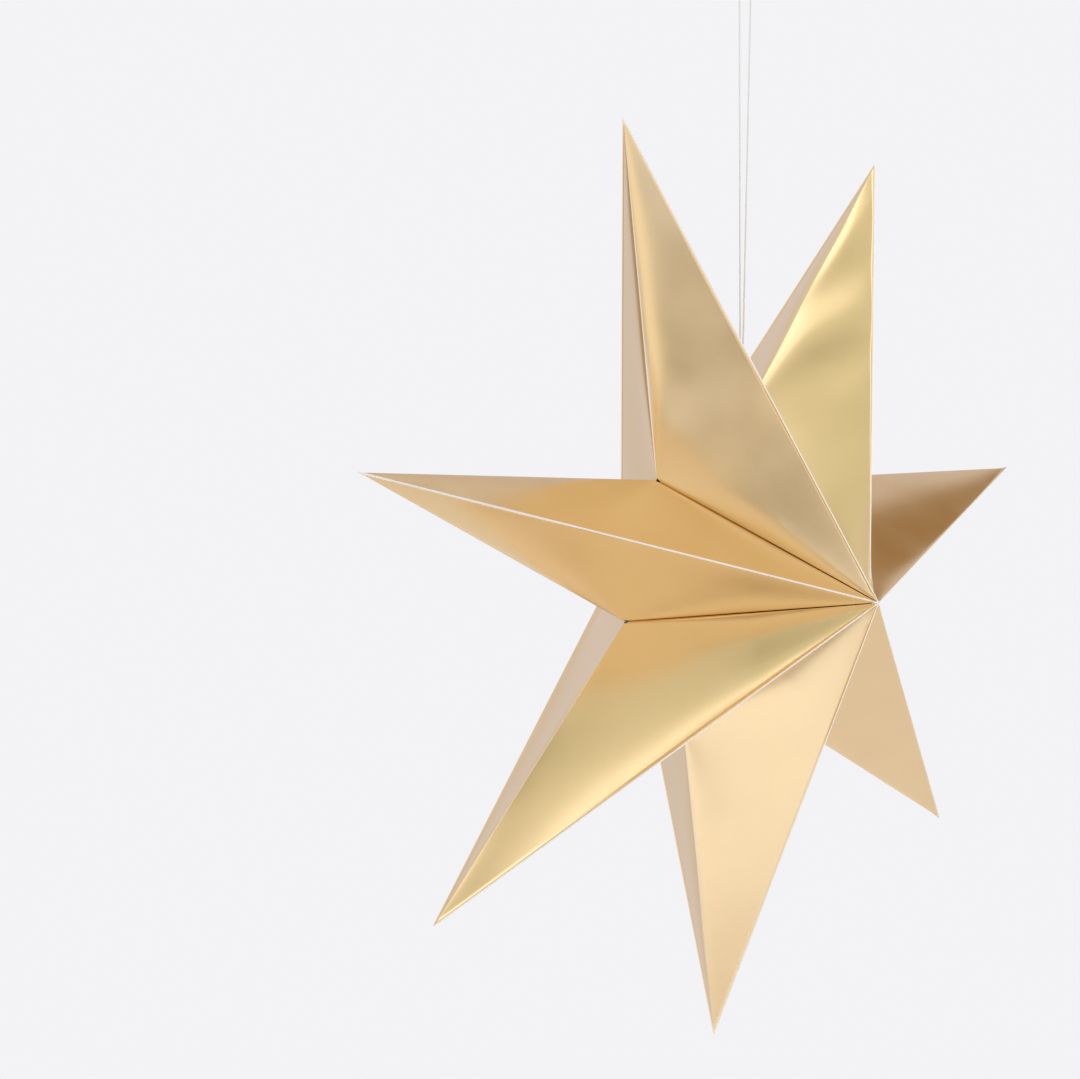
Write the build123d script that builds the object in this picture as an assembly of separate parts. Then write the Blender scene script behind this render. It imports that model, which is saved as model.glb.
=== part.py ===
from build123d import *
import os
from math import cos, radians, sin, sqrt, tan

# A hanging star with seven rays, made of gold foil card and hollow inside.
#
# It is fourteen dart-shaped cards. Each card is creased once, from the tip of its ray to the valley beside
# it, and is one half of a ray, front and back. The two halves of a ray are glued white side to white side
# along their outer edges, which make the ridges. Neighbouring rays are glued gold side to gold side in the
# valleys, with the glued edges turned in. Shut, the star is a flat stack of cards, and it opens like a fan.
# A cord is knotted through the small hole that the cards leave at the top valley, and ends in a loop.
#
# Millimetres. +X is to the right seen from the front, -Y to the front, +Z up.
# The origin is the inside of the top of the cord loop, where a hook carries it.

# The star
ray_count = 7
tip_radius = 300.0
valley_radius = 101.0
half_depth = 111.0

# The cards
card_thickness = 0.45
ridge_glue_at_tip = 3.0
ridge_glue_at_point = 1.0
valley_glue = 8.0
point_clearance = 15.0
tip_slit = 0.3

# The cord and its knots
cord_diameter = 1.2
hole_clearance = 0.3
knot_clearance = 0.1
outer_knot_width = 5.0
outer_knot_height = 6.0
outer_knot_rounding = 1.1
inner_knot_size = 6.0
inner_knot_rounding = 1.5
strand_spacing = 1.4
cord_trim = 0.1
hook_width = 10.4
loop_drop = 270.0

# Card is not exact: each ray leans a little, counter-clockwise in degrees, and its tip stands a little
# forward in millimetres. The rays are counted clockwise from the one left of the cord.
ray_lean = (-1.5, 2.5, 1.0, -0.5, -0.5, -1.0, -0.5)
ray_forward = (2.0, -7.0, -2.0, 1.0, 3.0, 4.0, -7.0)
top_valley_drawn = Vector(-2.0, 3.0, 1.0)

valley_hole_radius = cord_diameter + hole_clearance
ray_step = 360 / ray_count
star_axis = Vector(0, 1, 0)
front_point = Vector(0, -half_depth, 0)
back_point = Vector(0, half_depth, 0)


def ray_angle(ray):
    """Angle of a ray, counter-clockwise from +X seen from the front."""
    return 90 + ray_step / 2 - ray * ray_step + ray_lean[ray % ray_count]


def polar_point(radius, angle, forward):
    """Point at a radius and an angle from the star's centre."""
    return Vector(radius * cos(radians(angle)), -forward, radius * sin(radians(angle)))


def ray_tip(ray):
    return polar_point(tip_radius, ray_angle(ray), ray_forward[ray])


def valley_point(ray):
    """Valley between a ray and the one after it, half way round and half way forward."""
    after = ray + 1
    angle = (ray_angle(ray) + ray_angle(after)) / 2
    forward = (ray_forward[ray % ray_count] + ray_forward[after % ray_count]) / 2
    point = polar_point(valley_radius, angle, forward * valley_radius / tip_radius)
    return point + top_valley_drawn if ray == 0 else point


def sheet(corners, thickness):
    """Flat sheet with the given corners, extruded along a vector."""
    return Solid.extrude(Face(Wire.make_polygon(corners, close=True)), thickness)


def pyramid(a, b, c, d):
    """Closed solid with four corners."""
    sides = ((a, b, c), (a, b, d), (a, c, d), (b, c, d))
    return Solid(Shell([Face(Wire.make_polygon(side, close=True)) for side in sides]))


def square_to_axis(corner, towards):
    """Unit normal of the plane through the star's axis and a corner, on the side of another point."""
    normal = star_axis.cross(corner).normalized()
    return normal if normal.dot(towards) > 0 else -normal


def inner_face(point, crease_end, valley):
    """Plane of a face's white side, a card's thickness inside its gold side, facing out."""
    out = (crease_end - point).cross(valley - point).normalized()
    if out.dot(point) < 0:
        out = -out
    return Plane(origin=valley - out * card_thickness, z_dir=out)


def valley_flap(point, valley, thickness):
    """Glued edge that turns in along one valley line, cut short of the hole and of the star's point."""
    along = (point - valley).normalized()
    inwards = (-valley - along * along.dot(-valley)).normalized()
    to_point = (point - valley).length - point_clearance
    square = -valley.normalized()
    turned = valley_glue / inwards.dot(square)
    outer_start = valley + along * (valley_hole_radius / abs(along.Y))
    inner_start = outer_start + square * turned
    outer_end = valley + along * to_point
    return sheet((outer_start, outer_end, outer_end + inwards * valley_glue, inner_start), thickness)


def folded_card(tip, valley):
    """Half a ray: front and back face folded at the crease, ridge edges out and valley edges in."""
    ridge_side = square_to_axis(tip, valley)
    valley_side = square_to_axis(valley, tip)
    ridge_slope = half_depth / sqrt(half_depth**2 + tip_radius**2)
    crease_end = tip * (1 - ridge_glue_at_tip / ridge_slope / tip_radius)
    fold_front = front_point * (1 - ridge_glue_at_point / half_depth)
    fold_back = -fold_front

    ridge_edges = sheet((front_point, tip, back_point), ridge_side * card_thickness)
    ridge_edges = ridge_edges.split(Plane((0, 0, 0), z_dir=valley_side), keep=Keep.TOP)
    half_ray = pyramid(fold_front, fold_back, crease_end, valley) + ridge_edges
    front = half_ray.split(inner_face(fold_front, crease_end, valley), keep=Keep.TOP)
    back = half_ray.split(inner_face(fold_back, crease_end, valley), keep=Keep.TOP)
    card = front + back
    for point in (fold_front, fold_back):
        card += valley_flap(point, valley, valley_side * card_thickness)

    hole_plane = Plane(origin=valley, z_dir=valley)
    card -= hole_plane * Cylinder(valley_hole_radius, 8 * valley_hole_radius)
    slit_length = 2 * (tip - crease_end).length
    slit_plane = Plane(origin=tip, x_dir=tip, z_dir=ridge_side)
    card -= slit_plane * Box(slit_length, tip_slit, 4 * card_thickness)
    return card.solid()


def hang(shape):
    """Move the star so that its centre hangs straight below the top valley, a loop's drop under the hook."""
    top = valley_point(0)
    sideways = Vector(0, 1, 0).cross(top).normalized()
    upright = Plane(origin=(0, 0, 0), x_dir=sideways, z_dir=top)
    return Pos(0, 0, -loop_drop - top.length) * upright.location.inverse() * shape


def knot_body(width, height, rounding):
    """Rounded knot about the cord, flat where the cord leaves it."""
    body = Cylinder(width / 2, height)
    return fillet(body.edges(), rounding)


def knot_reach(width, height, rounding, slope):
    """How far a knot reaches from its centre, square to an edge that leaves the cord at a slope."""
    across = (width / 2 - rounding) * cos(slope)
    along = (height / 2 - rounding) * sin(slope)
    return across + along + rounding


def outer_knot_lift():
    """Height of the outer knot's centre over the valley, where it rests on the creases at either side."""
    top = valley_point(0)
    slope = min(radians((ray_tip(ray) - top).get_angle(top)) for ray in (0, 1))
    reach = knot_reach(outer_knot_width, outer_knot_height, outer_knot_rounding, slope)
    return (reach + knot_clearance) / sin(slope)


def inner_knot_depth():
    """Depth of the inner knot's centre under the valley, where the glued valley edges stop it."""
    top = valley_point(0)
    slope = min(radians((point - top).get_angle(-top)) for point in (front_point, back_point))
    reach = knot_reach(inner_knot_size, inner_knot_size, inner_knot_rounding, slope)
    return (valley_glue + reach + knot_clearance) / sin(slope)


def cord_knots():
    """The doubled cord where it goes through the top valley, with a knot above it and a stop knot inside."""
    lift = outer_knot_lift()
    depth = inner_knot_depth()
    outer = Pos(0, 0, lift) * knot_body(outer_knot_width, outer_knot_height, outer_knot_rounding)
    inner = Pos(0, 0, -depth) * knot_body(inner_knot_size, inner_knot_size, inner_knot_rounding)
    doubled = Rot(Z=90) * SlotOverall(2 * cord_diameter, cord_diameter)
    neck = Pos(0, 0, -depth) * extrude(doubled, lift + depth)
    return Pos(0, 0, -loop_drop) * (outer + inner + neck)


def cord_loop():
    """The two strands over the knot and the bend that a hook goes in, as one tube cut level at the knot."""
    knot_top = -loop_drop + outer_knot_lift() + outer_knot_height / 2
    start = knot_top - cord_trim
    top = cord_diameter / 2
    route = (
        (-strand_spacing / 2, 0, start),
        (-hook_width / 2, 0, top),
        (hook_width / 2, 0, top),
        (strand_spacing / 2, 0, start),
    )
    strand = Vector(*route[1]) - Vector(*route[0])
    half_turn = radians(strand.get_angle(Vector(1, 0, 0))) / 2
    radius = 0.45 * hook_width / tan(half_turn)
    path = FilletPolyline(*route, radius=[radius, radius])
    print("cord bend radii", round(radius, 2), round(radius, 2), "length", round(path.length, 1))
    section = Plane(origin=path @ 0, z_dir=path % 0) * Circle(cord_diameter / 2)
    return sweep(section, path=path).split(Plane((0, 0, knot_top)), keep=Keep.TOP)


os.makedirs("parts", exist_ok=True)
for ray in range(ray_count):
    left = hang(folded_card(ray_tip(ray), valley_point(ray - 1)))
    right = hang(folded_card(ray_tip(ray), valley_point(ray)))
    export_step(left, f"parts/ray_{ray + 1}_left_card.step")
    export_step(right, f"parts/ray_{ray + 1}_right_card.step")
export_step(cord_knots(), "parts/cord_knot.step")
export_step(cord_loop(), "parts/hanging_cord.step")
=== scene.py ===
# A hanging star with seven rays, folded from gold foil card, on its white cord.
#
# The script follows the star as it is put together: the view it is seen from, the cord that carries it,
# the fourteen cards of the rays, the knots that hold the star on the cord, and the room around it.
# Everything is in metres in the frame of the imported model: +X right seen from the front, -Y to the front,
# +Z up, and the hook at the origin.

from math import radians

import bpy
import numpy as np
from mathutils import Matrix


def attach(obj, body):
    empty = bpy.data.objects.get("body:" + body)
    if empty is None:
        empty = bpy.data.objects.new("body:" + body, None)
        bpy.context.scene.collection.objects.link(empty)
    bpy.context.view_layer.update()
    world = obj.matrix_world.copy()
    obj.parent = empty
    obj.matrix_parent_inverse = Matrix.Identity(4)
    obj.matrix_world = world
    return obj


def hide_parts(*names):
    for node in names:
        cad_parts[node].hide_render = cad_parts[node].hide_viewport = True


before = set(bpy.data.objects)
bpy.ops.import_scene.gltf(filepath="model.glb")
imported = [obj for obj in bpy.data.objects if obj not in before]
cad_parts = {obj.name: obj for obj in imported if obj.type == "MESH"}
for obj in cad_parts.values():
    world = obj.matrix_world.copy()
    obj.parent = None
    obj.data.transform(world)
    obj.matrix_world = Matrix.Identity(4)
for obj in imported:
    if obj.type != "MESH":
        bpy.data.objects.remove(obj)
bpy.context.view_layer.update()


# The view
# The star hangs turned away to the right, so it is seen from its left. The camera stands about a metre off,
# a little above the star's middle, and looks slightly down.

view_place = (-0.76598, -0.70636, -0.25574)
view_down = 4.92
view_roll = 0.05
view_round = -40.115
view_lens = 54.141
view_sensor = 36.0
view_shift = (0.00455, -0.00203)

view_camera = bpy.data.cameras.new("view")
view_camera.lens = view_lens
view_camera.sensor_width = view_sensor
view_camera.shift_x = view_shift[0]
view_camera.shift_y = view_shift[1]
view_object = bpy.data.objects.new("view", view_camera)
view_object.location = view_place
view_object.rotation_euler = (radians(90 - view_down), radians(view_roll), radians(view_round))
bpy.context.collection.objects.link(view_object)
bpy.context.scene.camera = view_object
bpy.context.scene.view_settings.view_transform = "Standard"


# The cord
# One loop of thin white cotton cord, three strands laid together. Both ends come out of the knot over the
# top valley, and the bend at the top goes over a hook.

cord_diameter = 0.0012
cord_lay_length = 0.0046
cord_ring_step = 0.0004
cord_ring_points = 18
cord_line_steps = 48
strand_turn = 2 * np.pi / 3
strand_depth = 0.45
fibre_grey = (0.74, 0.73, 0.70, 1.0)
cotton_white = (0.93, 0.925, 0.91, 1.0)
cord_route = (
    (-0.0007, 0, -0.26092),
    (-0.0051, 0, -0.0066),
    (-0.0052, 0, 0.0006),
    (0.0052, 0, 0.0006),
    (0.0051, 0, -0.0066),
    (0.0007, 0, -0.26092),
)


def spline_points(name, route):
    """Points along the smooth curve that a route's points pull into shape, read from the curve itself."""
    curve = bpy.data.curves.new(name, "CURVE")
    curve.dimensions = "3D"
    curve.resolution_u = cord_line_steps
    spline = curve.splines.new("NURBS")
    spline.points.add(len(route) - 1)
    spline.points.foreach_set("co", np.column_stack((route, np.ones(len(route)))).ravel())
    spline.order_u = 3
    spline.use_endpoint_u = True
    holder = bpy.data.objects.new(name, curve)
    bpy.context.collection.objects.link(holder)
    bpy.context.view_layer.update()
    mesh = bpy.data.meshes.new_from_object(holder.evaluated_get(bpy.context.evaluated_depsgraph_get()))
    points = np.empty(len(mesh.vertices) * 3)
    mesh.vertices.foreach_get("co", points)
    bpy.data.objects.remove(holder)
    bpy.data.curves.remove(curve)
    bpy.data.meshes.remove(mesh)
    return points.reshape(-1, 3)


def even_points(points, step):
    """The same line cut into equal steps by its length."""
    travelled = np.concatenate(([0.0], np.cumsum(np.linalg.norm(np.diff(points, axis=0), axis=1))))
    places = np.linspace(0.0, travelled[-1], int(travelled[-1] / step) + 1)
    return np.column_stack([np.interp(places, travelled, points[:, axis]) for axis in range(3)])


def laid_cord(path, aside, diameter, lay_length, points_before=0):
    """Surface of a cord of three round strands laid together, carried along a path.

    Round the cord the radius is the outline of three touching circles: o cos d + sqrt(r r - o o sin d sin d),
    where o is how far a strand's centre is off the middle, r the strand's radius, and d the angle to the
    nearest strand. The furrows are only part as deep, because cotton packs. The outline turns once in a lay
    length, and aside holds the direction at each point from which the turn is counted. Both ends are closed
    with a point. The faces count their points from points_before, the points already in the mesh.
    Returns the points, the quads and end triangles, and for each point its place round and along the cord.
    """
    along = np.gradient(path, axis=0)
    along /= np.linalg.norm(along, axis=1)[:, None]
    side = aside - along * np.sum(aside * along, axis=1)[:, None]
    side /= np.linalg.norm(side, axis=1)[:, None]
    across = np.cross(along, side)
    travelled = np.concatenate(([0.0], np.cumsum(np.linalg.norm(np.diff(path, axis=0), axis=1))))
    strand = diameter / 2 / (1 + 2 / np.sqrt(3))
    off_middle = diameter / 2 - strand
    round_cord = np.arange(cord_ring_points) * 2 * np.pi / cord_ring_points
    turned = round_cord[None, :] + 2 * np.pi * travelled[:, None] / lay_length
    nearest = (round_cord[None, :] + strand_turn / 2) % strand_turn - strand_turn / 2
    reach = np.sqrt(np.maximum(strand**2 - (off_middle * np.sin(nearest)) ** 2, 0.0))
    radius = diameter / 2 + strand_depth * (off_middle * np.cos(nearest) + reach - diameter / 2)
    ring = np.cos(turned)[..., None] * side[:, None, :] + np.sin(turned)[..., None] * across[:, None, :]
    surface = path[:, None, :] + radius[..., None] * ring
    count = len(path)
    points = np.concatenate((surface.reshape(-1, 3), path[:1], path[-1:]))
    rows, columns = np.meshgrid(np.arange(count - 1), np.arange(cord_ring_points), indexing="ij")
    after = (columns + 1) % cord_ring_points
    corner = rows * cord_ring_points
    quads = np.stack((corner + columns, corner + after, corner + cord_ring_points + after,
                      corner + cord_ring_points + columns), axis=-1).reshape(-1, 4)
    first = np.arange(cord_ring_points)
    second = (first + 1) % cord_ring_points
    last_ring = (count - 1) * cord_ring_points
    start_point = np.full(cord_ring_points, len(points) - 2)
    end_point = np.full(cord_ring_points, len(points) - 1)
    start_cap = np.column_stack((second, first, start_point))
    end_cap = np.column_stack((last_ring + first, last_ring + second, end_point))
    around = np.broadcast_to(round_cord[None, :] / (2 * np.pi), (count, cord_ring_points)).ravel()
    place = np.column_stack((around, np.repeat(travelled / lay_length, cord_ring_points)))
    place = np.concatenate((place, [[0.0, 0.0]], [[0.0, travelled[-1] / lay_length]]))
    faces = [(part + points_before).tolist() for part in (quads, start_cap, end_cap)]
    return points, sum(faces, []), place


def make_piece(name, points, faces, place, materials):
    """A mesh piece at the origin, with its points in the frame, its own UV map and smooth faces."""
    mesh = bpy.data.meshes.new(name)
    mesh.from_pydata(points, [], faces)
    corner_points = np.empty(len(mesh.loops), dtype=np.int32)
    mesh.loops.foreach_get("vertex_index", corner_points)
    layer = mesh.uv_layers.new(name="flat")
    layer.data.foreach_set("uv", np.asarray(place, dtype=np.float32)[corner_points].ravel())
    for material in materials:
        mesh.materials.append(material)
    mesh.polygons.foreach_set("use_smooth", np.ones(len(mesh.polygons), dtype=bool))
    mesh.validate()
    mesh.update()
    piece = bpy.data.objects.new(name, mesh)
    bpy.context.collection.objects.link(piece)
    return piece


def add_node(tree, kind, place, **values):
    """A node of a kind at a place in the tree, with its properties and plain inputs set."""
    node = tree.nodes.new(kind)
    node.location = place
    for key, value in values.items():
        if key.startswith("in_"):
            node.inputs[key[3:].replace("_", " ")].default_value = value
        else:
            setattr(node, key, value)
    return node


def cotton_cord_material():
    """Bleached cotton: fine fibres along the cord in white and grey, with a soft sheen."""
    material = bpy.data.materials.new("white_cotton_cord")
    material.use_nodes = True
    tree = material.node_tree
    shader = tree.nodes["Principled BSDF"]
    shader.inputs["Specular IOR Level"].default_value = 0.2
    shader.inputs["Sheen Weight"].default_value = 0.4
    shader.inputs["Sheen Roughness"].default_value = 0.5
    place = add_node(tree, "ShaderNodeUVMap", (-1100, 0), uv_map="flat")
    stretched = add_node(tree, "ShaderNodeMapping", (-900, 0))
    stretched.inputs["Scale"].default_value = (40.0, 3.0, 1.0)
    fibres = add_node(tree, "ShaderNodeTexNoise", (-700, 0), in_Scale=1.0, in_Detail=4.0)
    tone = add_node(tree, "ShaderNodeValToRGB", (-450, 150))
    tone.color_ramp.elements[0].position = 0.3
    tone.color_ramp.elements[0].color = fibre_grey
    tone.color_ramp.elements[1].position = 0.7
    tone.color_ramp.elements[1].color = cotton_white
    rough = add_node(tree, "ShaderNodeMapRange", (-450, -120))
    rough.inputs["To Min"].default_value = 0.7
    rough.inputs["To Max"].default_value = 0.92
    bump = add_node(tree, "ShaderNodeBump", (-250, -320))
    bump.inputs["Strength"].default_value = 0.35
    bump.inputs["Distance"].default_value = 0.0001
    tree.links.new(place.outputs["UV"], stretched.inputs["Vector"])
    tree.links.new(stretched.outputs["Vector"], fibres.inputs["Vector"])
    tree.links.new(fibres.outputs["Fac"], tone.inputs["Fac"])
    tree.links.new(fibres.outputs["Fac"], rough.inputs["Value"])
    tree.links.new(fibres.outputs["Fac"], bump.inputs["Height"])
    tree.links.new(tone.outputs["Color"], shader.inputs["Base Color"])
    tree.links.new(rough.outputs["Result"], shader.inputs["Roughness"])
    tree.links.new(bump.outputs["Normal"], shader.inputs["Normal"])
    return material


white_cotton = cotton_cord_material()
cord_path = even_points(spline_points("cord_line", cord_route), cord_ring_step)
cord_aside = np.broadcast_to(np.array([0.0, 1.0, 0.0]), cord_path.shape)
cord_surface = laid_cord(cord_path, cord_aside, cord_diameter, cord_lay_length)
hanging_loop = make_piece("hanging_loop", *cord_surface, [white_cotton])
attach(hanging_loop, "root")
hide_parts("hanging_cord")


# The fourteen cards
# Each is half a ray: stiff white card with satin gold foil on its outer side, creased once from the tip to
# the valley. The two halves of a ray are glued white to white along thin edges that stand up as the ridge,
# and neighbouring rays are glued gold to gold with 8 mm edges turned in at the valleys.

ray_count = 7
tip_radius = 0.300
valley_radius = 0.101
half_depth = 0.111
card_thickness = 0.00045
glue_line = 0.00003
ridge_glue_at_tip = 0.0005
ridge_glue_at_point = 0.0003
# The valley's glued edges stand a little apart at their fold and close to a glue line. They stop short of
# the star's points, and leave a slot open at the end of the crease, past which they widen at a slant.
valley_glue = 0.008
valley_slot = 0.0011
point_clearance = 0.015
point_opening = 0.0009
valley_gap = 0.0002
valley_closing = 0.0012
slot_reach = 1.3
flap_past_slot = 1.6
flap_slant = 1.2
loop_drop = 0.270
# Each ray leans a little from its even place, in degrees counter-clockwise, and its tip stands forward.
ray_lean = (-1.5, 2.5, 1.0, -0.5, -0.5, -1.0, -0.5)
ray_forward = (0.002, -0.007, -0.002, 0.001, 0.003, 0.004, -0.007)
top_valley_drawn = (-0.002, 0.003, 0.001)
slipped_back = {"ray_2_left_card": 0.0065, "ray_2_right_card": 0.0065}
star_axis = np.array([0.0, 1.0, 0.0])


def ray_angle(ray):
    """Angle of a ray in degrees, counter-clockwise from +X seen from the front."""
    return 90 + 180 / ray_count - ray * 360 / ray_count + ray_lean[ray % ray_count]


def polar_point(radius, angle, forward):
    """Point at a radius and an angle from the star's centre, some way forward."""
    turn = np.radians(angle)
    return np.array([radius * np.cos(turn), -forward, radius * np.sin(turn)])


def ray_tip(ray):
    """Tip of a ray, some way forward or back of the star's middle."""
    return polar_point(tip_radius, ray_angle(ray), ray_forward[ray % ray_count])


def valley_point(ray):
    """Valley between a ray and the one after it, half way round and half way forward."""
    angle = (ray_angle(ray) + ray_angle(ray + 1)) / 2
    forward = (ray_forward[ray % ray_count] + ray_forward[(ray + 1) % ray_count]) / 2
    point = polar_point(valley_radius, angle, forward * valley_radius / tip_radius)
    return point + top_valley_drawn if ray % ray_count == 0 else point


def unit(vector):
    """The same direction with a length of one."""
    return vector / np.linalg.norm(vector, axis=-1, keepdims=True)


def hang(points):
    """The star's points turned and let down so that its centre hangs straight under the top valley."""
    top = valley_point(0)
    upright = unit(top)
    sideways = unit(np.cross(star_axis, top))
    back = np.cross(upright, sideways)
    turned = points @ np.stack((sideways, back, upright), axis=1)
    return turned - np.array([0.0, 0.0, loop_drop + np.linalg.norm(top)])


def square_to_axis(corner, towards):
    """Unit normal of the plane through the star's axis and a corner, on the side of another point."""
    normal = unit(np.cross(star_axis, corner))
    return normal if normal @ towards > 0 else -normal


def distance_to_line(points, start, end):
    """Distance of points from the straight line through two others."""
    line = unit(end - start)
    gap = points - start
    return np.linalg.norm(gap - (gap @ line)[..., None] * line, axis=-1)


# A bend is a slope at its line, and a spread over which it dies away. Two cards have bends of their own,
# and two have a roll on the front face: its height, length, direction and shift, and the places along the
# crease where it starts and where it is full. A hair is added to what would divide by nothing.
crease_bend = 0.30
crease_bend_spread = 0.16
crease_bend_to_tip = 1.4
crease_fade = 0.006
valley_bend = 0.24
valley_bend_spread = 0.20
valley_bend_least = 0.0005
valley_fade = 0.012
ridge_bend = 0.03
ridge_bend_spread = 0.030
ridge_bend_at_point = 0.15
ridge_fade = 0.012
hair = 1e-6
wave_height = 0.00018
own_ridge_bend = {"ray_2_left_card": 0.0, "ray_6_right_card": 0.34}
own_crease_bend = {"ray_6_right_card": 0.20}
front_rolls = {"ray_2_left_card": (0.0012, 0.063, -0.94, -1.2, 0.02, 0.09),
               "ray_3_left_card": (0.0035, 0.16, 1.571, 0.0, -0.12, -0.06)}


def face_bulge(points, point, tip, valley, waves, roll, hollow, sprung):
    """How far a face stands off the flat triangle of its point, tip and valley, outwards.

    The card leaves the crease and the glued valley bulging, and comes up hollow to the ridge. Each bend is
    a slope times the distance d from its line, dying away as exp(-d / spread). The crease's slope is sprung.
    Its spread grows with the distance from the valley point and shrinks again towards the tip. The spread of
    the valley's bend grows with the distance from the nearer end of the valley. The ridge's slope is hollow,
    less its u u part on the way u up to the tip, and its spread is the same all along but for the point. The
    crease's bend fades out at the ridge, and the other two bends at both of the other lines, as
    1 - exp(-d / fade). Slow waves are added, sines of the distance travelled along the face, and a card with
    a roll has one more, which grows from nothing between two places along the crease.
    """
    to_crease = distance_to_line(points, valley, tip)
    to_valley = distance_to_line(points, point, valley)
    to_ridge = distance_to_line(points, point, tip)
    from_valley = np.linalg.norm(points - valley, axis=-1) + hair
    from_point = np.linalg.norm(points - point, axis=-1) + hair
    off_ridge = 1 - np.exp(-to_ridge / ridge_fade)
    off_crease = 1 - np.exp(-to_crease / crease_fade)
    off_valley = 1 - np.exp(-to_valley / valley_fade)
    left_to_tip = np.linalg.norm(points - tip, axis=-1) / np.linalg.norm(tip - valley)
    tapered = np.minimum(crease_bend_to_tip * left_to_tip, 1.0)
    crease_reach = crease_bend_spread * from_valley * tapered + hair
    bulge = sprung * to_crease * np.exp(-to_crease / crease_reach) * off_ridge
    valley_reach = valley_bend_spread * np.minimum(from_valley, from_point) + valley_bend_least
    bulge += valley_bend * to_valley * np.exp(-to_valley / valley_reach) * off_ridge * off_crease
    ridge_reach = np.minimum(ridge_bend_spread, ridge_bend_at_point * from_point)
    up_ridge = (points - point) @ unit(tip - point) / np.linalg.norm(tip - point)
    hollow_left = hollow * (1 - np.clip(up_ridge, 0.0, 1.0) ** 2)
    bulge -= hollow_left * to_ridge * np.exp(-to_ridge / ridge_reach) * off_crease * off_valley
    inner = off_ridge * off_crease * off_valley
    along_crease = (points - valley) @ unit(tip - valley)
    for height, length, turn, shift in waves:
        travelled = along_crease * np.cos(turn) + to_crease * np.sin(turn)
        bulge += height * inner * np.sin(2 * np.pi * travelled / length + shift)
    if roll:
        height, length, turn, shift, start, full = roll
        travelled = along_crease * np.cos(turn) + to_crease * np.sin(turn)
        grown = np.clip((along_crease - start) / (full - start), 0.0, 1.0)
        grown_height = height * grown**2 * (3 - 2 * grown)
        bulge += grown_height * inner * np.sin(2 * np.pi * travelled / length + shift)
    return bulge


crease_round = 0.0006
rows_to_crease = 60
row_crowding = 1.7
corner_steps = 4
columns_to_ridge = 44
column_crowding = 0.6
columns_on_flange = 3
rows_on_flap = 3


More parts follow.
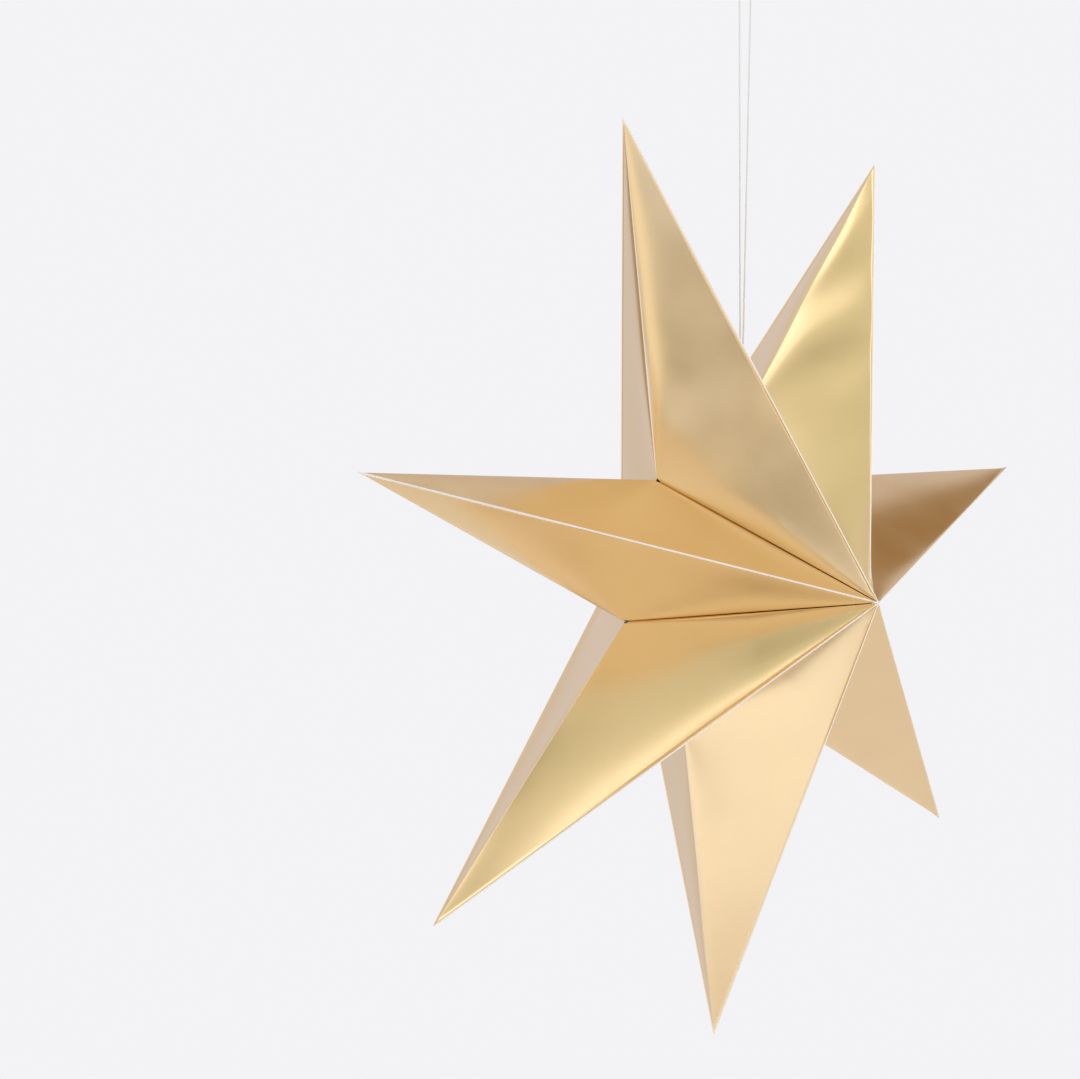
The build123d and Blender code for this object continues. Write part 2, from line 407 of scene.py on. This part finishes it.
def folded_card(tip, valley, waves, roll, hollow, sprung, slipped):
    """Half a ray as one open sheet, the gold side, from the front point over the crease to the back point.

    A column starts near the point, runs straight to the crease and on to the other point, with the corner at
    the crease rounded as P = (1-t)(1-t) A + 2 t (1-t) K + t t B. The columns divide the crease between the
    valley and the ridge, crowded towards both. Between them the face stands off by its bulge. Outside the
    last column the ridge's glued edge stands up beside the ray's middle plane, its white side a glue line
    off it. Inside the first one the valley's glued edges turn in and close to a glue line off the valley's
    plane, with a slot left open where the crease meets the valley.
    The waves, hollow and sprung go to the bulge of both faces, and the roll to that of the front one.
    slipped is how far the front point lies behind those of the other rays.
    Returns the points, the faces, and for each point its place on the unfolded card.
    """
    ridge_side = square_to_axis(tip, valley)
    valley_side = square_to_axis(valley, tip)
    slope = half_depth / np.hypot(half_depth, tip_radius)
    crease_end = tip * (1 - ridge_glue_at_tip / slope / tip_radius)
    share = (1 - np.cos(np.linspace(0, np.pi, columns_to_ridge))) / 2
    share = column_crowding * share + (1 - column_crowding) * np.linspace(0, 1, columns_to_ridge)
    crease = valley + share[:, None] * (crease_end - valley)
    crowd = np.linspace(1, 0, rows_to_crease) ** row_crowding
    corner_share = np.linspace(0, 1, corner_steps + 1)[1:-1]

    sides = []
    for front in (-1, 1):
        fold = star_axis * front * (half_depth - ridge_glue_at_point)
        point = star_axis * front * half_depth
        if front < 0:
            point = point + star_axis * slipped
        radial = np.linalg.norm(crease - star_axis * crease[:, 1:2], axis=1)
        slip = share[:, None] * (point - star_axis * front * half_depth)
        start = fold + slip + (crease - fold - slip) * (point_opening / radial)[:, None]
        reach = np.linalg.norm(start - crease, axis=1)
        left = crease_round / reach
        towards = crowd[:, None] * (1 - left[None, :]) + left[None, :]
        rows = crease[None] + towards[..., None] * (start - crease)[None]
        sides.append((front, fold, point, rows, towards))
    nearest = [side[3][-1] for side in sides]
    corner = [(1 - t) ** 2 * nearest[0] + 2 * t * (1 - t) * crease + t**2 * nearest[1] for t in corner_share]
    sheet = np.concatenate((sides[0][3], np.stack(corner), sides[1][3][::-1]))
    middle_rows = len(corner_share)

    offset = np.zeros(sheet.shape)
    flange = []
    for front, fold, point, rows, towards in sides:
        out = unit(np.cross(crease_end - fold, valley - fold))
        out = out if out @ crease_end > 0 else -out
        face_roll = roll if front < 0 else None
        bulge = face_bulge(rows, fold, crease_end, valley, waves[front], face_roll, hollow, sprung)
        stood = bulge[..., None] * out
        if front < 0:
            offset[:rows_to_crease] = stood
        else:
            offset[rows_to_crease + middle_rows:] = stood[::-1]
        edge = point + (1 - towards[:, -1:]) * (tip - point)
        flange.append(edge if front < 0 else edge[::-1])
    sheet = sheet + offset

    ridge_edge = np.concatenate((flange[0], np.repeat(tip[None], middle_rows, axis=0), flange[1]))
    ridge_fold = sheet[:, -1]
    steps = np.linspace(0, 1, columns_on_flange + 1)[1:]
    ridge = ridge_fold[:, None] + steps[None, :, None] * (ridge_edge - ridge_fold)[:, None]
    sheet = np.concatenate((sheet, ridge), axis=1)

    # The card stays on its own side of the ray's middle plane and of the valley's.
    over_middle = sheet @ ridge_side
    lift = np.maximum(card_thickness + glue_line - over_middle, 0.0)
    sheet = sheet + lift[..., None] * ridge_side
    over_valley = sheet @ valley_side
    lift = np.maximum(valley_gap - over_valley, 0.0)
    sheet = sheet + lift[..., None] * valley_side

    around_slot = np.linalg.norm(sheet - valley, axis=-1)
    into_face = unit(crease_end - valley)
    pushed = valley_slot * np.exp(-(around_slot / (slot_reach * valley_slot)) ** 2)
    sheet = sheet + pushed[..., None] * into_face

    row_count, column_count = sheet.shape[:2]
    points = sheet.reshape(-1, 3)
    first, second = np.meshgrid(np.arange(row_count - 1), np.arange(column_count - 1), indexing="ij")
    corner_index = (first * column_count + second).ravel()
    faces = np.stack((corner_index, corner_index + 1, corner_index + column_count + 1,
                      corner_index + column_count), axis=-1)

    valley_edge = sheet[:, 0]
    flap_faces = []
    flap_points = []
    total = len(points)
    for front, fold, *_ in sides:
        length = np.linalg.norm(valley - fold)
        to_valley_point = np.linalg.norm(valley_edge - valley, axis=1)
        glued = to_valley_point > flap_past_slot * valley_slot
        glued &= to_valley_point < length - point_clearance
        glued &= (valley_edge @ star_axis) * front > 0
        chosen = np.flatnonzero(glued)
        along = unit(fold - valley)
        inwards = unit(-valley - along * (along @ -valley))
        width = np.linspace(0, 1, rows_on_flap + 1)[1:] * valley_glue
        end_room = np.minimum(to_valley_point[chosen] - valley_slot, length - to_valley_point[chosen])
        reach = np.minimum(width[None, :], flap_slant * end_room[:, None])
        closed = np.minimum(reach / valley_closing, 1.0) * (valley_gap - glue_line)
        flap = valley_edge[chosen][:, None] + reach[..., None] * inwards - closed[..., None] * valley_side
        flap_points.append(flap.reshape(-1, 3))
        index = total + np.arange(flap.shape[0] * rows_on_flap).reshape(flap.shape[0], rows_on_flap)
        index = np.concatenate((chosen[:, None] * column_count, index), axis=1)
        total += flap.shape[0] * rows_on_flap
        flap_faces.append(np.stack((index[:-1, 1:], index[:-1, :-1], index[1:, :-1], index[1:, 1:]),
                                   axis=-1).reshape(-1, 4))
    points = np.concatenate((points, *flap_points))
    faces = np.concatenate((faces, *flap_faces))

    crease_line = unit(tip - valley)
    gap = points - valley
    along_crease = gap @ crease_line
    off_crease = np.linalg.norm(gap - along_crease[:, None] * crease_line, axis=1)
    off_crease = np.where(points[:, 1] < 0, -off_crease, off_crease)
    return points, faces, np.column_stack((along_crease, off_crease))


def paper_grain_group():
    """Grain of smooth rolled card: fine flecks, fibres along the sheet, and slow cloudiness.

    Sheet is a point's place on the unfolded card in metres, and Fleck Scale the number of flecks in a metre.
    Fleck, Fibre and Cloud come out as values that lie about 0.5.
    """
    group = bpy.data.node_groups.new("paper_grain", "ShaderNodeTree")
    group.interface.new_socket("Sheet", in_out="INPUT", socket_type="NodeSocketVector")
    group.interface.new_socket("Fleck Scale", in_out="INPUT", socket_type="NodeSocketFloat")
    group.interface.new_socket("Fleck", in_out="OUTPUT", socket_type="NodeSocketFloat")
    group.interface.new_socket("Fibre", in_out="OUTPUT", socket_type="NodeSocketFloat")
    group.interface.new_socket("Cloud", in_out="OUTPUT", socket_type="NodeSocketFloat")
    enter = add_node(group, "NodeGroupInput", (-900, 0))
    leave = add_node(group, "NodeGroupOutput", (300, 0))
    fleck = add_node(group, "ShaderNodeTexNoise", (-500, 250), in_Detail=3.0, in_Roughness=0.6)
    stretched = add_node(group, "ShaderNodeMapping", (-700, 0))
    stretched.inputs["Scale"].default_value = (160.0, 2600.0, 1.0)
    fibre = add_node(group, "ShaderNodeTexNoise", (-500, 0), in_Scale=1.0, in_Detail=3.0)
    cloud = add_node(group, "ShaderNodeTexNoise", (-500, -250), in_Scale=26.0, in_Detail=2.0)
    group.links.new(enter.outputs["Sheet"], fleck.inputs["Vector"])
    group.links.new(enter.outputs["Fleck Scale"], fleck.inputs["Scale"])
    group.links.new(enter.outputs["Sheet"], stretched.inputs["Vector"])
    group.links.new(stretched.outputs["Vector"], fibre.inputs["Vector"])
    group.links.new(enter.outputs["Sheet"], cloud.inputs["Vector"])
    group.links.new(fleck.outputs["Fac"], leave.inputs["Fleck"])
    group.links.new(fibre.outputs["Fac"], leave.inputs["Fibre"])
    group.links.new(cloud.outputs["Fac"], leave.inputs["Cloud"])
    return group


def mix_values(tree, place, first, second, share):
    """first + share (second - first) of two value outputs."""
    node = add_node(tree, "ShaderNodeMix", place, data_type="FLOAT")
    node.inputs["Factor"].default_value = share
    tree.links.new(first, node.inputs["A"])
    tree.links.new(second, node.inputs["B"])
    return node.outputs["Result"]


def ranged(tree, place, value, low, high):
    """A value of 0.3 to 0.7 spread over low to high."""
    node = add_node(tree, "ShaderNodeMapRange", place)
    node.inputs["From Min"].default_value = 0.3
    node.inputs["From Max"].default_value = 0.7
    node.inputs["To Min"].default_value = low
    node.inputs["To Max"].default_value = high
    tree.links.new(value, node.inputs["Value"])
    return node.outputs["Result"]


paper_grain = paper_grain_group()
foil_deep = (0.86, 0.675, 0.40, 1.0)
foil_light = (0.90, 0.705, 0.43, 1.0)
card_cream = (0.86, 0.845, 0.81, 1.0)
card_pale = (0.93, 0.925, 0.91, 1.0)


def gold_foil_material():
    """Satin gold foil: a fine fleck from the card under it, faint rolling lines, and slow changes of tone."""
    material = bpy.data.materials.new("satin_gold_foil")
    material.use_nodes = True
    tree = material.node_tree
    shader = tree.nodes["Principled BSDF"]
    shader.inputs["Metallic"].default_value = 1.0
    shader.inputs["Specular Tint"].default_value = (1.0, 0.97, 0.93, 1.0)
    shader.inputs["Coat Weight"].default_value = 0.15
    shader.inputs["Coat Roughness"].default_value = 0.22
    place = add_node(tree, "ShaderNodeUVMap", (-1300, 0), uv_map="flat")
    grain = add_node(tree, "ShaderNodeGroup", (-1050, 0), node_tree=paper_grain)
    grain.inputs["Fleck Scale"].default_value = 900.0
    mottle = mix_values(tree, (-800, 200), grain.outputs["Cloud"], grain.outputs["Fleck"], 0.4)
    tone = add_node(tree, "ShaderNodeValToRGB", (-550, 250))
    tone.color_ramp.elements[0].position = 0.3
    tone.color_ramp.elements[0].color = foil_deep
    tone.color_ramp.elements[1].position = 0.7
    tone.color_ramp.elements[1].color = foil_light
    rough_value = ranged(tree, (-550, -50), mottle, 0.17, 0.25)
    height = mix_values(tree, (-800, -350), grain.outputs["Fleck"], grain.outputs["Fibre"], 0.5)
    bump = add_node(tree, "ShaderNodeBump", (-300, -350))
    bump.inputs["Strength"].default_value = 0.25
    bump.inputs["Distance"].default_value = 0.00008
    tree.links.new(place.outputs["UV"], grain.inputs["Sheet"])
    tree.links.new(mottle, tone.inputs["Fac"])
    tree.links.new(height, bump.inputs["Height"])
    tree.links.new(tone.outputs["Color"], shader.inputs["Base Color"])
    tree.links.new(rough_value, shader.inputs["Roughness"])
    tree.links.new(bump.outputs["Normal"], shader.inputs["Normal"])
    return material


def white_card_material():
    """Bare white card, inside the star and on every cut edge: matt, with fibres and a faint warm cloud."""
    material = bpy.data.materials.new("white_card")
    material.use_nodes = True
    tree = material.node_tree
    shader = tree.nodes["Principled BSDF"]
    shader.inputs["Specular IOR Level"].default_value = 0.3
    place = add_node(tree, "ShaderNodeUVMap", (-1300, 0), uv_map="flat")
    grain = add_node(tree, "ShaderNodeGroup", (-1050, 0), node_tree=paper_grain)
    grain.inputs["Fleck Scale"].default_value = 1400.0
    mottle = mix_values(tree, (-800, 200), grain.outputs["Cloud"], grain.outputs["Fibre"], 0.5)
    tone = add_node(tree, "ShaderNodeValToRGB", (-550, 250))
    tone.color_ramp.elements[0].position = 0.3
    tone.color_ramp.elements[0].color = card_cream
    tone.color_ramp.elements[1].position = 0.7
    tone.color_ramp.elements[1].color = card_pale
    rough_value = ranged(tree, (-550, -50), mottle, 0.7, 0.85)
    bump = add_node(tree, "ShaderNodeBump", (-300, -350))
    bump.inputs["Strength"].default_value = 0.3
    bump.inputs["Distance"].default_value = 0.00006
    tree.links.new(place.outputs["UV"], grain.inputs["Sheet"])
    tree.links.new(mottle, tone.inputs["Fac"])
    tree.links.new(mottle, bump.inputs["Height"])
    tree.links.new(tone.outputs["Color"], shader.inputs["Base Color"])
    tree.links.new(rough_value, shader.inputs["Roughness"])
    tree.links.new(bump.outputs["Normal"], shader.inputs["Normal"])
    return material


gold_foil = gold_foil_material()
white_card = white_card_material()
waves_on_face = 3
wave_lengths = (0.07, 0.16)
crisp_angle = 50
card_waves = np.random.default_rng(7)


def slow_waves():
    """Slow waves for the front (-1) and the back face of a card: height, length, direction and shift."""
    return {front: [(wave_height, card_waves.uniform(*wave_lengths), card_waves.uniform(0, np.pi),
                     card_waves.uniform(0, 2 * np.pi)) for _ in range(waves_on_face)] for front in (-1, 1)}


def finish_card(piece):
    """Give the gold sheet its white thickness inwards, and keep its cut edges crisp."""
    thick = piece.modifiers.new("thickness", "SOLIDIFY")
    thick.thickness = card_thickness
    thick.offset = -1.0
    thick.use_even_offset = False
    thick.use_quality_normals = True
    thick.material_offset = 1
    thick.material_offset_rim = 1
    bpy.context.view_layer.update()
    evaluated = piece.evaluated_get(bpy.context.evaluated_depsgraph_get())
    solid = bpy.data.meshes.new_from_object(evaluated)
    sheet_mesh = piece.data
    piece.modifiers.clear()
    piece.data = solid
    bpy.data.meshes.remove(sheet_mesh)
    solid.name = piece.name
    solid.set_sharp_from_angle(angle=radians(crisp_angle))


def make_card(ray, side, valley):
    """The left or right card of a ray, hung in its place. A right one is the other way round."""
    name = f"ray_{ray + 1}_{side}_card"
    hollow = own_ridge_bend.get(name, ridge_bend)
    sprung = own_crease_bend.get(name, crease_bend)
    points, faces, place = folded_card(ray_tip(ray), valley, slow_waves(), front_rolls.get(name),
                                       hollow, sprung, slipped_back.get(name, 0.0))
    if side == "right":
        faces = faces[:, ::-1]
    card = make_piece(name + "_foil", hang(points), faces.tolist(), place, [gold_foil, white_card])
    finish_card(card)
    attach(card, "root")
    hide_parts(name)


for ray in range(ray_count):
    make_card(ray, "left", valley_point(ray - 1))
    make_card(ray, "right", valley_point(ray))


# The knots
# The doubled cord goes through the slot at the top valley. Outside it is whipped with three and a half turns
# of its own end, and inside it ends in a stop knot that the glued valley edges hold.

cord_knot_top = -0.26082
outer_knot_middle = -0.26382
inner_knot_middle = -0.28620
outer_knot_radius = 0.00187
inner_knot_radius = 0.00232
knot_turns = 3.5
knot_pitch = 0.00128
knot_drawn_end = 0.2
knot_points_a_turn = 60
knot_lay_length = 0.0040
knot_ring_step = 0.0003
knot_off_axis = 1e-5
doubled_apart = 0.00064
doubled_from_top = 0.0002
doubled_past_middle = 0.0027
doubled_quarter_turn = 0.005
doubled_points = 120


def wrapped_turns(middle, radius):
    """Path of turns round the doubled cord: a helix whose radius draws in to the middle at both ends."""
    share = np.linspace(-1, 1, int(knot_turns * knot_points_a_turn))
    drawn = np.clip((np.abs(share) - (1 - knot_drawn_end)) / knot_drawn_end, 0, 1)
    reach = radius - (radius - cord_diameter / 2) * drawn**2 * (3 - 2 * drawn)
    turn = share * np.pi * knot_turns
    height = middle + share * knot_turns * knot_pitch / 2
    return np.column_stack((reach * np.cos(turn), reach * np.sin(turn), height))


def doubled_cord(sign):
    """Path of one of the two strands from the top of the outer knot to the bottom of the inner one.

    They start side by side, left and right, and a quarter turn inside the outer knot sets them one behind
    the other, to go through the slot.
    """
    height = np.linspace(cord_knot_top + doubled_from_top, inner_knot_middle - doubled_past_middle,
                         doubled_points)
    share = np.clip((cord_knot_top - height) / doubled_quarter_turn, 0, 1)
    turn = np.pi / 2 * share * share * (3 - 2 * share)
    apart = sign * doubled_apart
    return np.column_stack((apart * np.cos(turn), apart * np.sin(turn), height))


knot_paths = (
    (doubled_cord(1), False),
    (doubled_cord(-1), False),
    (wrapped_turns(outer_knot_middle, outer_knot_radius), True),
    (wrapped_turns(inner_knot_middle, inner_knot_radius), True),
)
knot_points = []
knot_faces = []
knot_place = []
for knot_path, wrapped in knot_paths:
    even = even_points(knot_path, knot_ring_step)
    aside = np.broadcast_to(np.array([1.0, 0.0, 0.0]), even.shape)
    if wrapped:
        aside = even * np.array([1.0, 1.0, 0.0]) + np.array([knot_off_axis, 0.0, 0.0])
    points_before = sum(len(points) for points in knot_points)
    points, faces, place = laid_cord(even, aside, cord_diameter, knot_lay_length, points_before)
    knot_points.append(points)
    knot_faces += faces
    knot_place.append(place)
cord_knots = make_piece("cord_knots", np.concatenate(knot_points), knot_faces,
                        np.concatenate(knot_place), [white_cotton])
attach(cord_knots, "root")
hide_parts("cord_knot")


# The room
# A plain pale floor lies well under the star, with a pale backdrop all round. There are no lamps: the light
# comes from the room itself, in soft bands over its height and round patches of light and shade, which the
# foil mirrors.

floor_height = -1.3
floor_radius = 3.0
floor_sides = 96
floor_fade_start = 0.5
floor_fade_end = 1.5
floor_colour = (0.86, 0.83, 0.83, 1.0)
backdrop_colour = (0.896, 0.896, 0.921)
# The places of a Mix node's colours among its sockets.
mix_first_colour = 6
mix_second_colour = 7
mix_result_colour = 2

# Each band: how high it is, from 0 straight down to 1 straight up by the sine of its elevation, and its
# colour. Each patch: its azimuth from the front towards the right and its elevation, the angles off its
# middle at which it is full and gone, and its colour.
room_tones = (
    (0.000, (0.88, 0.84, 0.86)),
    (0.070, (0.88, 0.83, 0.84)),
    (0.120, (1.02, 0.99, 1.02)),
    (0.165, (1.24, 1.23, 1.28)),
    (0.262, (1.24, 1.23, 1.28)),
    (0.294, (0.48, 0.43, 0.38)),
    (0.375, (0.44, 0.40, 0.35)),
    (0.440, (0.96, 0.98, 1.10)),
    (0.570, (0.97, 0.98, 1.08)),
    (0.660, (0.88, 0.84, 0.78)),
    (0.790, (0.84, 0.80, 0.76)),
    (0.880, (0.70, 0.66, 0.62)),
    (1.000, (0.82, 0.80, 0.74)),
)
room_patches = (
    (158, -4, 22, 50, (0.71, 0.67, 0.70)),
    (114, 32, 16, 30, (0.64, 0.57, 0.55)),
    (90, 34, 8, 17, (0.34, 0.21, 0.10)),
    (-90, -14, 5, 17, (1.05, 0.97, 0.84)),
    (-94, 38, 7, 17, (1.15, 0.98, 0.74)),
    (-176, -4, 5, 15, (0.40, 0.31, 0.24)),
    (-52, 62, 8, 22, (0.76, 0.74, 0.59)),
    (-118, 63, 9, 25, (1.50, 1.48, 1.40)),
    (-60, 80, 4, 12, (1.05, 1.04, 0.80)),
    (-50, 46, 5, 12, (0.48, 0.45, 0.34)),
    (-136, -20, 14, 32, (0.98, 1.03, 1.30)),
    (90, 78, 10, 24, (1.9, 1.9, 1.9)),
    (20, -6, 20, 34, (1.5, 1.5, 1.5)),
)


def floor_material():
    """Pale matt floor that fades into the backdrop towards its edge."""
    material = bpy.data.materials.new("pale_floor")
    material.use_nodes = True
    tree = material.node_tree
    shader = tree.nodes["Principled BSDF"]
    shader.inputs["Roughness"].default_value = 0.8
    shader.inputs["Base Color"].default_value = floor_colour
    place = add_node(tree, "ShaderNodeTexCoord", (-900, 0))
    flat = add_node(tree, "ShaderNodeVectorMath", (-700, 0), operation="MULTIPLY")
    flat.inputs[1].default_value = (1.0, 1.0, 0.0)
    distance = add_node(tree, "ShaderNodeVectorMath", (-500, 0), operation="LENGTH")
    fade = add_node(tree, "ShaderNodeMapRange", (-300, 0), interpolation_type="SMOOTHSTEP")
    fade.inputs["From Min"].default_value = floor_fade_start
    fade.inputs["From Max"].default_value = floor_fade_end
    fade.inputs["To Min"].default_value = 1.0
    fade.inputs["To Max"].default_value = 0.0
    tree.links.new(place.outputs["Object"], flat.inputs[0])
    tree.links.new(flat.outputs["Vector"], distance.inputs[0])
    tree.links.new(distance.outputs["Value"], fade.inputs["Value"])
    tree.links.new(fade.outputs["Result"], shader.inputs["Alpha"])
    return material


round_floor = np.arange(floor_sides) * 2 * np.pi / floor_sides
floor_points = np.column_stack((floor_radius * np.cos(round_floor), floor_radius * np.sin(round_floor),
                                np.full(floor_sides, floor_height)))
floor_mesh = bpy.data.meshes.new("floor")
floor_mesh.from_pydata(floor_points, [], [list(range(floor_sides))])
floor_mesh.materials.append(floor_material())
floor = bpy.data.objects.new("floor", floor_mesh)
bpy.context.collection.objects.link(floor)


def round_patch(tree, place, azimuth, elevation, inner, outer):
    """How much of a round patch of the room a direction sees: 1 within the inner angle, 0 past the outer.

    The cosine of the angle off the patch's middle, smoothly stepped between those of the two angles.
    Returns the socket that takes the direction, and the one that gives the share.
    """
    across, up = radians(azimuth), radians(elevation)
    towards = (np.sin(across) * np.cos(up), -np.cos(across) * np.cos(up), np.sin(up))
    turn = add_node(tree, "ShaderNodeVectorMath", place, operation="DOT_PRODUCT")
    turn.inputs[1].default_value = towards
    edge = add_node(tree, "ShaderNodeMapRange", (place[0] + 200, place[1]), interpolation_type="SMOOTHSTEP")
    edge.inputs["From Min"].default_value = np.cos(radians(outer))
    edge.inputs["From Max"].default_value = np.cos(radians(inner))
    tree.links.new(turn.outputs["Value"], edge.inputs["Value"])
    return turn.inputs[0], edge.outputs["Result"]


def pale_room():
    """Plain backdrop for the eye, and the soft light of the room for everything else.

    The light's colour follows the height of its direction through the bands, and each patch is laid over
    that in turn, by its share.
    """
    world = bpy.data.worlds.new("pale_room")
    world.use_nodes = True
    tree = world.node_tree
    tree.nodes.clear()
    out = add_node(tree, "ShaderNodeOutputWorld", (1700, 0))
    seen = add_node(tree, "ShaderNodeBackground", (1300, 150))
    seen.inputs["Color"].default_value = (*backdrop_colour, 1.0)
    light = add_node(tree, "ShaderNodeBackground", (1300, -50))
    pick = add_node(tree, "ShaderNodeMixShader", (1500, 0))
    path = add_node(tree, "ShaderNodeLightPath", (1300, 400))
    place = add_node(tree, "ShaderNodeTexCoord", (-700, 0))
    split = add_node(tree, "ShaderNodeSeparateXYZ", (-500, 0))
    height = add_node(tree, "ShaderNodeMapRange", (-300, 0))
    height.inputs["From Min"].default_value = -1.0
    height.inputs["From Max"].default_value = 1.0
    tone = add_node(tree, "ShaderNodeValToRGB", (-100, 0))
    ramp = tone.color_ramp
    ramp.elements[0].position = room_tones[0][0]
    ramp.elements[1].position = room_tones[-1][0]
    for position, _ in room_tones[1:-1]:
        ramp.elements.new(position)
    for element, (_, colour) in zip(ramp.elements, room_tones):
        element.color = (*colour, 1.0)
    colour = tone.outputs["Color"]
    for number, (azimuth, elevation, inner, outer, patch) in enumerate(room_patches):
        corner = (-300, -300 - 250 * number)
        across, share = round_patch(tree, corner, azimuth, elevation, inner, outer)
        mix = add_node(tree, "ShaderNodeMix", (200 + 200 * number, -200), data_type="RGBA")
        mix.inputs[mix_second_colour].default_value = (*patch, 1.0)
        tree.links.new(place.outputs["Generated"], across)
        tree.links.new(share, mix.inputs["Factor"])
        tree.links.new(colour, mix.inputs[mix_first_colour])
        colour = mix.outputs[mix_result_colour]
    tree.links.new(place.outputs["Generated"], split.inputs["Vector"])
    tree.links.new(split.outputs["Z"], height.inputs["Value"])
    tree.links.new(height.outputs["Result"], tone.inputs["Fac"])
    tree.links.new(colour, light.inputs["Color"])
    tree.links.new(path.outputs["Is Camera Ray"], pick.inputs["Fac"])
    tree.links.new(light.outputs["Background"], pick.inputs[1])
    tree.links.new(seen.outputs["Background"], pick.inputs[2])
    tree.links.new(pick.outputs["Shader"], out.inputs["Surface"])
    return world


bpy.context.scene.world = pale_room()
